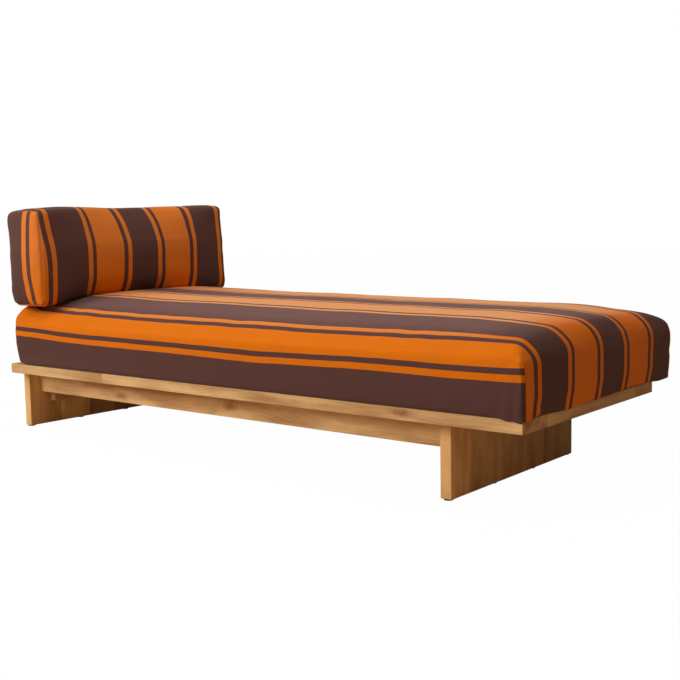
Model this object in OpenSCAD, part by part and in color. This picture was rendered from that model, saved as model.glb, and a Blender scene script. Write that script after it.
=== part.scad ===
// Daybed: a wooden platform on two plank legs, with a loose mattress and a loose bolster.
// X runs along the length with the head end at -X, Y runs from front to back, Z is up.
// The origin is at the middle of the outline's box, on the floor. Sizes are in millimetres.

/* [Platform] */
// length of the wooden platform
platform_len = 2000; // [1900:10:2100]
// depth of the wooden platform
platform_w = 740; // [700:5:780]
// height of the platform's top above the floor
platform_top = 227; // [215:1:245]
// thickness of the frame boards
board_t = 32; // [28:1:36]
// width of the four frame boards
rail_w = 116; // [100:1:125]
// width of one slat
slat_w = 70; // [60:1:75]
// thickness of the slats and of the ledges left below them
slat_t = 18; // [16:1:20]
// width of the ledger strips that carry the slats
ledger_w = 24; // [20:1:28]
// free length at each slat end
slat_play = 1; // [0.5:0.5:2]
// small bevel along the edges of every board
edge_bevel = 1.5; // [1:0.25:2.5]

/* [Legs and beams] */
// thickness of the plank legs
leg_t = 32; // [28:1:36]
// how far the legs stand back from the platform's front and rear
leg_setback = 48; // [40:1:56]
// how far the platform reaches past the foot leg
foot_overhang = 220; // [190:5:250]
// height of the two long beams
beam_h = 75; // [65:1:80]
// thickness of the two long beams
beam_t = 32; // [28:1:36]
// how far the beams stand back from the platform's front and rear
beam_setback = 92; // [84:1:98]
// thickness of the crossbars on the legs' inner faces
crossbar_t = 36; // [30:1:40]
// how far the crossbars reach below the beams
crossbar_drop = 36; // [25:1:40]

/* [Hardware] */
// diameter of the wooden dowels
dowel_d = 10; // [8:1:12]
// length of the wooden dowels
dowel_len = 50; // [40:2:56]
// radial room around a dowel and past each of its ends
dowel_gap = 0.1; // [0.05:0.05:0.2]
// shank diameter of the wood screws
screw_d = 5; // [4:0.5:6]
// head diameter of the wood screws
screw_head_d = 10; // [8.5:0.5:11]
// head height of the wood screws
screw_head_t = 3; // [2.5:0.5:3.5]
// radial room around a screw
screw_gap = 0.1; // [0.05:0.05:0.2]
// diameter of the leg glides
glide_d = 24; // [18:1:28]
// thickness of the leg glides below the wood
glide_t = 3; // [2:0.5:5]

/* [Mattress] */
// width of the mattress
mattress_w = 856; // [830:2:870]
// height of the mattress at its crown
mattress_h = 228; // [216:2:240]
// how far the mattress stands in from the platform's head end
mattress_head_inset = 10; // [4:1:30]
// how far the mattress stands past the platform at the foot
mattress_foot_reach = 2; // [0:1:12]
// how far the mattress stands past the platform at the front
mattress_front_reach = 4; // [0:1:8]
// height of the upright part of its sides
mattress_side_h = 114; // [104:2:122]
// tuck radius along the bottom edge
mattress_tuck = 22; // [16:1:26]
// radius where the sides turn into the top
mattress_shoulder = 32; // [24:1:40]
// plan radius of the upright corners
mattress_corner = 26; // [18:1:36]
// thickness of the quilted cover
cover_t = 3; // [2:0.5:4]
// room between a cover and its foam core
core_gap = 0.5; // [0.3:0.1:1]

/* [Bolster] */
// width of the bolster, along the head end
bolster_w = 836; // [810:2:850]
// thickness of the bolster at its seams
bolster_t = 176; // [166:2:186]
// outward crown of the bolster's front face
bolster_crown = 12; // [6:1:16]
// height of the bolster at its middle
bolster_h = 306; // [290:2:320]
// how far the bolster's ends hang below its middle
bolster_sag = 26; // [16:2:30]
// radius along the bolster's bottom edges
bolster_corner = 28; // [20:1:34]
// reach of the rounding where the bolster's faces turn into its top
bolster_shoulder = 70; // [50:1:76]
// outward crown of the bolster's end panels
bolster_end_crown = 14; // [8:1:18]
// how far the bolster stands in from the platform's head end
bolster_inset = 28; // [20:1:36]
// room between the bolster and the mattress below it
bolster_seat_gap = 0.4; // [0.3:0.1:0.8]

/* [Zips] */
// how far the mattress zip stays from each end of the mattress
mattress_zip_margin = 146; // [100:2:240]
// how far the bolster zip stays from each end of the bolster
bolster_zip_margin = 98; // [80:2:140]
// height of a zip tape
zip_tape_h = 26; // [22:1:30]
// thickness of a zip tape
zip_tape_t = 1.2; // [1:0.1:1.6]
// height of a zip coil
zip_coil_h = 6; // [5:0.5:7]
// thickness of a zip coil
zip_coil_t = 2.4; // [2:0.2:3]
// running room between a slider and its coil
slider_gap = 0.3; // [0.2:0.05:0.4]
// length of a slider
slider_len = 13; // [11:1:16]
// wall thickness of a slider
slider_wall = 1.6; // [1.2:0.1:2]
// length of a pull tab
pull_len = 30; // [24:1:36]
// width of a pull tab
pull_w = 8; // [6:1:10]
// thickness of a pull tab
pull_t = 2; // [1.6:0.1:2.4]
// diameter of the bar that a pull tab hangs on
pull_bar_d = 2.4; // [2:0.1:2.8]
// radial running room of a pull tab on its bar
pull_gap = 0.08; // [0.05:0.01:0.1]

/* [Hidden] */
$fn = 32;
slop = 1;
half_len = platform_len / 2;
half_w = platform_w / 2;
under = platform_top - board_t;
inner_half_len = half_len - rail_w;
inner_half_w = half_w - rail_w;
leg_h = under - glide_t;
leg_half_w = half_w - leg_setback;
head_leg_x = leg_t / 2 - half_len;
foot_leg_x = half_len - foot_overhang - leg_t / 2;
beam_x0 = head_leg_x + leg_t / 2;
beam_x1 = foot_leg_x - leg_t / 2;
beam_in_y = half_w - beam_setback - beam_t;
beam_y = beam_in_y + beam_t / 2;
beam_z0 = under - beam_h;
crossbar_z0 = beam_z0 - crossbar_drop;
crossbar_h = under - crossbar_z0;
ledger_t = board_t - slat_t;

// Slats share the space between the end rails in equal steps.
slat_count = 14;
slat_gap = (2 * inner_half_len - slat_count * slat_w) / (slat_count + 1);
slat_step = slat_w + slat_gap;
slat_first = slat_gap + slat_w / 2 - inner_half_len;
slat_screw_y = inner_half_w - ledger_w / 2;
slat_screw_len = 26;
screw_sunk = 1;

// Every dowel reaches this far into the thinner of its two boards.
dowel_bite = 0.6 * board_t;
leg_bite = 0.6 * leg_t;
rail_dowel_x = half_len - rail_w / 2;
rail_dowel_step = rail_w / 4;
leg_dowel_y = leg_half_w - 30;
beam_dowel_zs = [beam_z0 + 0.3 * beam_h, beam_z0 + 0.7 * beam_h];

beam_screw_count = 5;
beam_screw_len = 60;
beam_screw_grip = 40;
beam_screw_y = (inner_half_w + half_w - beam_setback) / 2;
beam_screw_step = (beam_x1 - beam_x0) / beam_screw_count;
ledger_screw_len = ledger_w + 14;
ledger_screw_z = under + ledger_t / 2;
crossbar_screw_grip = 24;
crossbar_screw_len = crossbar_screw_grip + 19;
crossbar_screw_ys = [-170, 170];
crossbar_screw_zs = [crossbar_z0 + 0.27 * crossbar_h, crossbar_z0 + 0.7 * crossbar_h];

glide_count = 4;
glide_pin_d = 4;
glide_pin_len = 14;
glide_step = 2 * (leg_half_w - glide_d / 2) / (glide_count - 1);

// Mattress section: a tuck, an upright side, a round shoulder, then a cubic rise to the crown.
mattress_len = platform_len + mattress_foot_reach - mattress_head_inset;
mattress_cx = half_len + mattress_foot_reach - mattress_len / 2;
mattress_cy = mattress_w / 2 - mattress_front_reach - half_w;
mattress_back = mattress_cy + mattress_w / 2;
turn_z = mattress_tuck + mattress_side_h;
crown_power = 3;
turn_angle = 90 - atan(crown_power * (mattress_h - turn_z - 0.92 * mattress_shoulder)
    / (mattress_w / 2 - mattress_shoulder / 2));
crown_in = mattress_shoulder * (1 - cos(turn_angle));
crown_z = turn_z + mattress_shoulder * sin(turn_angle);
crown_reach = mattress_w / 2 - crown_in;
crown_last = 0.9;
head_share = 0.25;
corner_steps = 5;

// Bolster: sections in the XZ plane along its width, with a domed panel at each end.
bolster_x = bolster_inset + bolster_t / 2 - half_len;
bolster_y = bolster_w / 2 - mattress_front_reach - half_w;
bolster_half = bolster_w / 2 - bolster_end_crown;
bolster_half_h = bolster_h / 2;
bolster_end_drop = 8;
bolster_top_crown = 4;
bolster_fall = 0.9;
bolster_steps = 8;
bolster_shoulder_drop = 1.5;
bolster_z = platform_top + mattress_h + bolster_seat_gap + bolster_half_h;

// Zips: the local frame has the coil along X, outwards along Y and up along Z.
zip_stop = 4;
zip_stop_rise = 1;
slider_t = zip_coil_t + slider_gap + slider_wall;
slider_h = zip_coil_h + 2 * (slider_gap + slider_wall);
pull_eye = pull_bar_d / 2 + pull_gap + 1.2;
pull_side = 1.4;
pull_y = zip_tape_t + slider_t + slider_gap + pull_eye;
zip_out = pull_y + pull_eye;
mattress_zip_len = mattress_len - 2 * mattress_zip_margin;
bolster_zip_len = bolster_w - 2 * bolster_zip_margin;
mattress_zip_z = platform_top + mattress_tuck + zip_tape_h / 2 + 6;
bolster_zip_z = bolster_z - bolster_half_h + bolster_corner + zip_tape_h / 2;
mattress_slider_at = zip_stop + slider_gap + slider_len / 2 - mattress_zip_len / 2;
bolster_slider_at = zip_stop + slider_gap + slider_len / 2 - bolster_zip_len / 2;

// The outline's box has its middle here, so that the origin can be put there.
origin_x = (min(-half_len, bolster_x - bolster_t / 2 - zip_out) + half_len + mattress_foot_reach) / 2;
origin_y = (mattress_back + zip_out - half_w - mattress_front_reach) / 2;

// Boards with bevelled long edges, centred on the origin.
module bevelled(w, t) {
    polygon([[edge_bevel - w / 2, -t / 2], [w / 2 - edge_bevel, -t / 2],
        [w / 2, edge_bevel - t / 2], [w / 2, t / 2 - edge_bevel],
        [w / 2 - edge_bevel, t / 2], [edge_bevel - w / 2, t / 2],
        [-w / 2, t / 2 - edge_bevel], [-w / 2, edge_bevel - t / 2]]);
}

module board_along_x(len, w, t) {
    rotate([90, 0, 90]) linear_extrude(len, center = true) bevelled(w, t);
}

module board_along_y(len, w, t) {
    rotate([90, 0, 0]) linear_extrude(len, center = true) bevelled(w, t);
}

module in_frame() {
    translate([-origin_x, -origin_y, 0]) children();
}

module dowel() {
    translate([0, 0, dowel_gap]) cylinder(h = dowel_len - 2 * dowel_gap, d = dowel_d);
}

module dowel_bore() {
    cylinder(h = dowel_len, d = dowel_d + 2 * dowel_gap);
}

// A screw along +Z: its head starts at z = 0.
module screw(len) {
    cylinder(h = screw_head_t, d1 = screw_head_d, d2 = screw_d);
    cylinder(h = len, d = screw_d);
}

module screw_bore(len, sunk) {
    cylinder(h = screw_head_t, d1 = screw_head_d + 2 * screw_gap, d2 = screw_d + 2 * screw_gap);
    cylinder(h = len + screw_gap, d = screw_d + 2 * screw_gap);
    translate([0, 0, -sunk - slop]) cylinder(h = sunk + slop, d = screw_head_d + 2 * screw_gap);
}

// Places of the joints, shared by the bores and by what sits in them.
module at_rail_dowels() {
    for (sx = [-1, 1], sy = [-1, 1], k = [-1, 1])
        translate([sx * rail_dowel_x + k * rail_dowel_step, sy * inner_half_w - dowel_len / 2,
            under + board_t / 2]) rotate([-90, 0, 0]) children();
}

module at_leg_dowels() {
    for (x = [head_leg_x, foot_leg_x], sy = [-1, 1])
        translate([x, sy * leg_dowel_y, under + dowel_bite - dowel_len]) children();
}

module at_beam_dowels() {
    for (sy = [-1, 1], z = beam_dowel_zs) {
        translate([beam_x0 - leg_bite, sy * beam_y, z]) rotate([0, 90, 0]) children();
        translate([beam_x1 + leg_bite, sy * beam_y, z]) rotate([0, -90, 0]) children();
    }
}

module at_beam_screws() {
    for (sy = [-1, 1], k = [0.5 : beam_screw_count])
        translate([beam_x0 + k * beam_screw_step, sy * beam_screw_y, under - beam_screw_grip]) children();
}

module at_ledger_screws() {
    for (sy = [-1, 1], k = [0.5 : 2 : slat_count - 1])
        translate([slat_first + k * slat_step, sy * (inner_half_w - ledger_w + screw_sunk), ledger_screw_z])
            rotate([-90 * sy, 0, 0]) children();
}

module at_slat_screws(i) {
    for (sy = [-1, 1])
        translate([slat_first + (i - 1) * slat_step, sy * slat_screw_y, platform_top - screw_sunk])
            rotate([180, 0, 0]) children();
}

module at_crossbar_screws() {
    for (y = crossbar_screw_ys, z = crossbar_screw_zs) {
        translate([beam_x0 + crossbar_screw_grip, y, z]) rotate([0, -90, 0]) children();
        translate([beam_x1 - crossbar_screw_grip, y, z]) rotate([0, 90, 0]) children();
    }
}

module at_glides(x) {
    for (k = [0 : glide_count - 1])
        translate([x, glide_d / 2 - leg_half_w + k * glide_step, 0]) children();
}

// Platform
module side_rail(side) {
    color("burlywood") in_frame() difference() {
        translate([0, side * (half_w - rail_w / 2), under + board_t / 2])
            board_along_x(platform_len, rail_w, board_t);
        at_rail_dowels() dowel_bore();
        at_leg_dowels() dowel_bore();
        at_beam_screws() screw_bore(beam_screw_len, 0);
        at_ledger_screws() screw_bore(ledger_screw_len, screw_sunk);
    }
}

module end_rail(side) {
    color("burlywood") in_frame() difference() {
        translate([side * (half_len - rail_w / 2), 0, under + board_t / 2])
            board_along_y(2 * inner_half_w, rail_w, board_t);
        at_rail_dowels() dowel_bore();
    }
}

module rail_dowels() {
    color("tan") in_frame() at_rail_dowels() dowel();
}

module ledger(side) {
    color("wheat") in_frame() difference() {
        translate([0, side * (inner_half_w - ledger_w / 2), under + ledger_t / 2])
            board_along_x(2 * inner_half_len, ledger_w, ledger_t);
        at_ledger_screws() screw_bore(ledger_screw_len, screw_sunk);
        for (i = [1 : slat_count]) at_slat_screws(i) screw_bore(slat_screw_len, screw_sunk);
    }
}

module ledger_screws() {
    color("silver") in_frame() at_ledger_screws() screw(ledger_screw_len);
}

module slat(i) {
    color("wheat") in_frame() difference() {
        translate([slat_first + (i - 1) * slat_step, 0, platform_top - slat_t / 2])
            board_along_y(2 * (inner_half_w - slat_play), slat_w, slat_t);
        at_slat_screws(i) screw_bore(slat_screw_len, screw_sunk);
    }
}

module slat_screws() {
    color("silver") in_frame() for (i = [1 : slat_count]) at_slat_screws(i) screw(slat_screw_len);
}

// Legs and beams
module leg(x) {
    color("burlywood") in_frame() difference() {
        translate([x, 0, glide_t]) linear_extrude(leg_h) bevelled(leg_t, 2 * leg_half_w);
        at_leg_dowels() dowel_bore();
        at_beam_dowels() dowel_bore();
        at_crossbar_screws() screw_bore(crossbar_screw_len, 0);
        at_glides(x) cylinder(h = glide_t + glide_pin_len + screw_gap, d = glide_pin_d + 2 * screw_gap);
    }
}

module leg_dowels() {
    color("tan") in_frame() at_leg_dowels() dowel();
}

module leg_glides(x) {
    color("dimgray") in_frame() at_glides(x) {
        cylinder(h = glide_t, d = glide_d);
        cylinder(h = glide_t + glide_pin_len, d = glide_pin_d);
    }
}

module beam(side) {
    color("burlywood") in_frame() difference() {
        translate([(beam_x0 + beam_x1) / 2, side * beam_y, beam_z0 + beam_h / 2])
            board_along_x(beam_x1 - beam_x0, beam_t, beam_h);
        at_beam_dowels() dowel_bore();
        at_beam_screws() screw_bore(beam_screw_len, beam_h);
    }
}

module beam_dowels() {
    color("tan") in_frame() at_beam_dowels() dowel();
}

module beam_screws() {
    color("silver") in_frame() at_beam_screws() screw(beam_screw_len);
}

module crossbar(x) {
    color("burlywood") in_frame() difference() {
        translate([x, 0, crossbar_z0 + crossbar_h / 2])
            board_along_y(2 * beam_in_y, crossbar_t, crossbar_h);
        at_crossbar_screws() screw_bore(crossbar_screw_len, crossbar_t);
    }
}

module crossbar_screws() {
    color("silver") in_frame() at_crossbar_screws() screw(crossbar_screw_len);
}

// Lofts through rings of equal length. Faces run clockwise as seen from outside.
function ring_faces(n, rows, base, flip) = [for (j = [0 : rows - 2], k = [0 : n - 1])
    let (a = base + j * n + k, b = base + j * n + (k + 1) % n)
    for (face = [[a, a + n, b], [b, a + n, b + n]])
        flip ? [face[2], face[1], face[0]] : face];
function cap_face(n, base, flip) = [for (k = [0 : n - 1]) base + (flip ? n - 1 - k : k)];
function flat(rings) = [for (r = rings) each r];

module solid_loft(rings) {
    n = len(rings[0]);
    polyhedron(flat(rings), concat(ring_faces(n, len(rings), 0, false),
        [cap_face(n, 0, false)], [cap_face(n, n * (len(rings) - 1), true)]));
}

// A cup: closed at its last rings, open at its first.
module cup_loft(outer, inner) {
    n = len(outer[0]);
    m = len(outer);
    polyhedron(concat(flat(outer), flat(inner)), concat(
        ring_faces(n, m, 0, false), [cap_face(n, n * (m - 1), true)],
        ring_faces(n, m, n * m, true), [cap_face(n, n * (2 * m - 1), false)],
        [for (k = [0 : n - 1]) let (b = (k + 1) % n)
            for (face = [[k, b, n * m + k], [b, n * m + b, n * m + k]]) face]));
}

// A tube: open at both ends.
module tube_loft(outer, inner) {
    n = len(outer[0]);
    m = len(outer);
    last = n * (m - 1);
    polyhedron(concat(flat(outer), flat(inner)), concat(
        ring_faces(n, m, 0, false), ring_faces(n, m, n * m, true),
        [for (k = [0 : n - 1]) let (b = (k + 1) % n)
            for (face = [[k, b, n * m + k], [b, n * m + b, n * m + k],
                [last + k, n * m + last + k, last + b],
                [last + b, n * m + last + k, n * m + last + b]]) face]));
}

// Mattress rows: [inset, height, inset share of the normal, height share, crown fraction].
function crown_rise(u) = (1 - pow(1 - u, crown_power)) / (1 - pow(1 - crown_last, crown_power));
first_turn = acos(1 - cover_t / mattress_tuck);
mattress_rows = concat(
    [[mattress_tuck * (1 - sin(first_turn)), cover_t, 1, 0, 0]],
    [for (a = [60, 90]) [mattress_tuck * (1 - sin(a)), mattress_tuck * (1 - cos(a)), sin(a), -cos(a), 0]],
    [for (k = [0 : 3]) let (a = turn_angle * k / 3) [mattress_shoulder * (1 - cos(a)),
        turn_z + mattress_shoulder * sin(a), cos(a), sin(a), 0]],
    [for (u = [0.1, 0.24, 0.4, 0.6, crown_last]) [crown_in,
        crown_z + (mattress_h - crown_z) * crown_rise(u), cos(turn_angle), 1, u]]);
function mattress_ring(row, s) = let (
    side = row[0] + s * row[2],
    run = row[4] * crown_reach,
    r = max(mattress_corner - side, 4) + 0.6 * run,
    x0 = side + run * head_share - mattress_len / 2,
    x1 = mattress_len / 2 - side - run,
    y1 = mattress_w / 2 - side - run,
    round = min(r, y1 - 1))
    [for (q = [0 : 3], k = [0 : corner_steps - 1])
        let (a = 90 * (q + k / (corner_steps - 1)))
        [(q == 0 || q == 3 ? x1 - round : x0 + round) + round * cos(a),
            (q < 2 ? 1 : -1) * (y1 - round) + round * sin(a), row[1] - s * row[3]]];
function mattress_rings(s) = [for (row = mattress_rows) mattress_ring(row, s)];

module in_mattress() {
    in_frame() translate([mattress_cx, mattress_cy, platform_top]) children();
}

module mattress_cover() {
    color("sienna") in_mattress() cup_loft(mattress_rings(0), mattress_rings(cover_t));
}

module mattress_bottom_panel() {
    inset = mattress_tuck - 10;
    color("dimgray") in_mattress() linear_extrude(cover_t)
        polygon([for (p = mattress_ring([inset, 0, 0, 0, 0], 0)) [p[0], p[1]]]);
}

module mattress_core() {
    color("ivory") in_mattress() solid_loft(mattress_rings(cover_t + core_gap));
}

// Bolster ring: v runs from -1 to 1 along the width, s is the inset.
function bolster_ring(y, v, s) = let (
    a = bolster_t / 2 - s,
    top = bolster_half_h - bolster_end_drop * pow(abs(v), 3) - s,
    low = s - bolster_half_h - bolster_sag * pow(abs(v), 3),
    r = max(bolster_corner - s, 3),
    top_r = max(bolster_shoulder - s, 3),
    top_drop = top_r * bolster_shoulder_drop,
    bulge = bolster_crown * (1 - bolster_fall * pow(abs(v), 2.4)),
    rise = bolster_top_crown * (1 - bolster_fall * pow(abs(v), 3)))
    concat(
        [for (k = [0 : 4]) [a - top_r + top_r * cos(22.5 * k), y,
            top - top_drop + top_drop * sin(22.5 * k)]],
        [[0, y, top + rise]],
        [for (k = [4 : 8]) [top_r - a + top_r * cos(22.5 * k), y,
            top - top_drop + top_drop * sin(22.5 * k)]],
        [for (k = [8 : 12]) [r - a + r * cos(22.5 * k), y, low + r + r * sin(22.5 * k)]],
        [for (k = [12 : 16]) [a - r + r * cos(22.5 * k), y, low + r + r * sin(22.5 * k)]],
        [for (k = [1 : 5]) [a + bulge * (1 - pow(k / 3 - 1, 2)), y,
            (top - top_drop + low + r) / 2 + (k / 3 - 1) * (top - low - top_drop - r) / 2]]);
function bolster_rings(s) = [for (k = [0 : bolster_steps])
    let (v = 1 - 2 * k / bolster_steps) bolster_ring(v * bolster_half, v, s)];
function bolster_end(s, side) = [for (p = [[0, 0], [4, 0.5], [14, 0.8], [36, 0.95], [64, 1]])
    bolster_ring(side * (bolster_half + max(0, p[1] * bolster_end_crown - (p[1] > 0 ? s : 0))),
        1, p[0] + s)];

module in_bolster() {
    in_frame() translate([bolster_x, bolster_y, bolster_z]) children();
}

module bolster_cover() {
    color("sienna") in_bolster() tube_loft(bolster_rings(0), bolster_rings(cover_t));
}

module bolster_end_panel(side) {
    color("sienna") in_bolster() mirror([0, side > 0 ? 0 : 1, 0])
        cup_loft(bolster_end(0, 1), bolster_end(cover_t, 1));
}

module bolster_core() {
    color("ivory") in_bolster() solid_loft(bolster_rings(cover_t + core_gap));
}

// Zips
module in_mattress_zip() {
    in_frame() translate([mattress_cx, mattress_back, mattress_zip_z]) children();
}

module in_bolster_zip() {
    in_frame() translate([bolster_x - bolster_t / 2, bolster_y, bolster_zip_z])
        rotate([0, 0, 90]) children();
}

module at_mattress_slider() {
    in_mattress_zip() translate([mattress_slider_at, 0, 0]) children();
}

module at_bolster_slider() {
    in_bolster_zip() translate([bolster_slider_at, 0, 0]) children();
}

module zip_tape(len) {
    color("dimgray") translate([-len / 2, 0, -zip_tape_h / 2]) cube([len, zip_tape_t, zip_tape_h]);
}

module zip_coil(len) {
    color("black") translate([0, zip_tape_t, 0]) {
        translate([-len / 2, 0, -zip_coil_h / 2]) cube([len, zip_coil_t, zip_coil_h]);
        for (x = [-len / 2, len / 2 - zip_stop])
            translate([x, 0, -zip_coil_h / 2 - zip_stop_rise])
                cube([zip_stop, zip_coil_t + zip_stop_rise, zip_coil_h + 2 * zip_stop_rise]);
    }
}

// The slider straddles the coil and carries a bar between two cheeks.
module zip_slider() {
    bar_at = pull_y - zip_tape_t - slider_gap;
    color("silver") translate([0, zip_tape_t + slider_gap, 0]) {
        difference() {
            translate([-slider_len / 2, 0, -slider_h / 2])
                cube([slider_len, slider_t - slider_gap, slider_h]);
            translate([-slider_len / 2 - slop, -slop, -zip_coil_h / 2 - slider_gap])
                cube([slider_len + 2 * slop, zip_coil_t + slop, zip_coil_h + 2 * slider_gap]);
        }
        for (x = [-slider_len / 2, slider_len / 2 - pull_side])
            translate([x, slider_t - slider_gap - slop, -pull_eye])
                cube([pull_side, bar_at + pull_bar_d - slider_t + slider_gap + slop, 2 * pull_eye]);
        translate([-slider_len / 2, bar_at, 0]) rotate([0, 90, 0]) cylinder(h = slider_len, d = pull_bar_d);
    }
}

module zip_pull() {
    color("silver") translate([0, pull_y, 0]) difference() {
        union() {
            translate([-pull_w / 2, 0, 0]) rotate([0, 90, 0]) cylinder(h = pull_w, r = pull_eye);
            translate([-pull_w / 2, -pull_t / 2, -pull_len]) cube([pull_w, pull_t, pull_len]);
        }
        translate([-pull_w / 2 - slop, 0, 0]) rotate([0, 90, 0])
            cylinder(h = pull_w + 2 * slop, d = pull_bar_d + 2 * pull_gap);
    }
}

side_rail(-1);  // front_rail
side_rail(1);  // rear_rail
end_rail(-1);  // head_rail
end_rail(1);  // foot_rail
rail_dowels();
ledger(-1);  // front_ledger
ledger(1);  // rear_ledger
ledger_screws();
slat(1);  // slat_01
slat(2);  // slat_02
slat(3);  // slat_03
slat(4);  // slat_04
slat(5);  // slat_05
slat(6);  // slat_06
slat(7);  // slat_07
slat(8);  // slat_08
slat(9);  // slat_09
slat(10);  // slat_10
slat(11);  // slat_11
slat(12);  // slat_12
slat(13);  // slat_13
slat(14);  // slat_14
slat_screws();
leg(head_leg_x);  // head_leg
leg(foot_leg_x);  // foot_leg
leg_dowels();
leg_glides(head_leg_x);  // head_leg_glides
leg_glides(foot_leg_x);  // foot_leg_glides
beam(-1);  // front_beam
beam(1);  // rear_beam
beam_dowels();
beam_screws();
crossbar(beam_x0 + crossbar_t / 2);  // head_crossbar
crossbar(beam_x1 - crossbar_t / 2);  // foot_crossbar
crossbar_screws();
mattress_cover();
mattress_bottom_panel();
mattress_core();
in_mattress_zip() zip_tape(mattress_zip_len);  // mattress_zip_tape
in_mattress_zip() zip_coil(mattress_zip_len);  // mattress_zip_coil
at_mattress_slider() zip_slider();  // mattress_zip_slider
at_mattress_slider() zip_pull();  // mattress_zip_pull
bolster_cover();
bolster_end_panel(-1);  // bolster_front_end_panel
bolster_end_panel(1);  // bolster_rear_end_panel
bolster_core();
in_bolster_zip() zip_tape(bolster_zip_len);  // bolster_zip_tape
in_bolster_zip() zip_coil(bolster_zip_len);  // bolster_zip_coil
at_bolster_slider() zip_slider();  // bolster_zip_slider
at_bolster_slider() zip_pull();  // bolster_zip_pull
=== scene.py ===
import math

import bmesh
import bpy
import numpy as np
from mathutils import Matrix, Vector, noise


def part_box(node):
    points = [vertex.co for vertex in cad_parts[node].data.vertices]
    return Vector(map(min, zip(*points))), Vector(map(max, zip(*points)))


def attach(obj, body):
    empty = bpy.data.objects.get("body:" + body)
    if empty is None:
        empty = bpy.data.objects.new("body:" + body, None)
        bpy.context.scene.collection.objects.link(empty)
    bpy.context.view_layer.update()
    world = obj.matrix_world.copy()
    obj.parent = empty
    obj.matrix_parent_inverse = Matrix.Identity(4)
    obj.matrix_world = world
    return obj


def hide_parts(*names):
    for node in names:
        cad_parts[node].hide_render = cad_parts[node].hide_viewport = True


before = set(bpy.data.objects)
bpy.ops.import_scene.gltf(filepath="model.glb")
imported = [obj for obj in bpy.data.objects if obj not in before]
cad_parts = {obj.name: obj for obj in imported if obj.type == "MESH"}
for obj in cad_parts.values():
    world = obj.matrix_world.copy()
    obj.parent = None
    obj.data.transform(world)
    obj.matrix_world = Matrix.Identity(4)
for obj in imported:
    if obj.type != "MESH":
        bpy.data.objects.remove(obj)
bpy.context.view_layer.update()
mm = 0.001

# All places below are in millimetres from the middle of the platform, with z up from the floor.
railLow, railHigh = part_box("front_rail")[0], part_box("rear_rail")[1]
middle = Vector(((railLow[0] + railHigh[0]) / 2, (railLow[1] + railHigh[1]) / 2, 0))


def place(x, y, z):
    return middle + Vector((x, y, z)) * mm


# the camera as it was fitted to the edges of the wooden frame in the photograph
photoCamera = {
    "place": (2072.3, -2321.7, 642.1),
    "yaw": -39.21,  # degrees from +Y
    "pitch": -5.871,
    "roll": -1.078,
    "lens": 52.87,
    "sensor": 36,
}


def addObject(name, data):
    made = bpy.data.objects.new(name, data)
    bpy.context.scene.collection.objects.link(made)
    return made


def addMesh(name, bm, materials):
    mesh = bpy.data.meshes.new(name)
    bm.to_mesh(mesh)
    bm.free()
    for material in materials:
        mesh.materials.append(material)
    return addObject(name, mesh)


def addCamera(values):
    yaw, pitch, roll = (math.radians(values[key]) for key in ("yaw", "pitch", "roll"))
    ahead = Vector((math.cos(pitch) * math.sin(yaw), math.cos(pitch) * math.cos(yaw), math.sin(pitch)))
    right = Vector((math.cos(yaw), -math.sin(yaw), 0))
    up = right.cross(ahead)
    turnedRight = right * math.cos(roll) + up * math.sin(roll)
    turnedUp = up * math.cos(roll) - right * math.sin(roll)
    axes = Matrix((turnedRight, turnedUp, -ahead)).transposed()
    data = bpy.data.cameras.new("photoCamera")
    data.lens = values["lens"]
    data.sensor_width = values["sensor"]
    camera = addObject("photoCamera", data)
    camera.matrix_world = Matrix.Translation(place(*values["place"])) @ axes.to_4x4()
    bpy.context.scene.camera = camera


addCamera(photoCamera)
print("camera placed")


def treeOf(*values):
    return next(value.id_data for value in values if isinstance(value, bpy.types.NodeSocket))


def feed(socket, value):
    if isinstance(value, bpy.types.NodeSocket):
        socket.id_data.links.new(value, socket)
    else:
        socket.default_value = value


def feedAll(made, inputs):
    for key, value in inputs.items():
        feed(made.inputs[key], value)


def node(tree, kind, inputs=None, **settings):
    made = tree.nodes.new("ShaderNode" + kind)
    for key, value in settings.items():
        setattr(made, key, value)
    feedAll(made, inputs or {})
    return made


def calc(operation, *values, clamp=False):
    return node(treeOf(*values), "Math", dict(enumerate(values)), operation=operation, use_clamp=clamp).outputs[0]


def times(first, second):
    return calc("MULTIPLY", first, second)


def plus(first, second, clamp=False):
    return calc("ADD", first, second, clamp=clamp)


def minus(first, second):
    return calc("SUBTRACT", first, second)


def vectorCalc(operation, *values):
    made = node(treeOf(*values), "VectorMath", dict(enumerate(values)), operation=operation)
    return made.outputs["Value" if operation == "LENGTH" else 0]


def stretch(vector, factors):
    return vectorCalc("MULTIPLY", vector, factors)


def mixColours(amount, first, second, mode="MIX"):
    # sockets 6, 7 and 2 are the colours of a mix node
    inputs = {0: amount, 6: first, 7: second}
    return node(treeOf(amount, first, second), "Mix", inputs, data_type="RGBA", blend_type=mode).outputs[2]


def speckle(vector, scale, detail=2.0, roughness=0.5):
    inputs = {"Vector": vector, "Scale": scale, "Detail": detail, "Roughness": roughness}
    return node(treeOf(vector), "TexNoise", inputs).outputs["Fac"]


def remap(value, low, high, newLow=0.0, newHigh=1.0):
    inputs = {"Value": value, "From Min": low, "From Max": high, "To Min": newLow, "To Max": newHigh}
    return node(treeOf(value), "MapRange", inputs).outputs["Result"]


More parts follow.
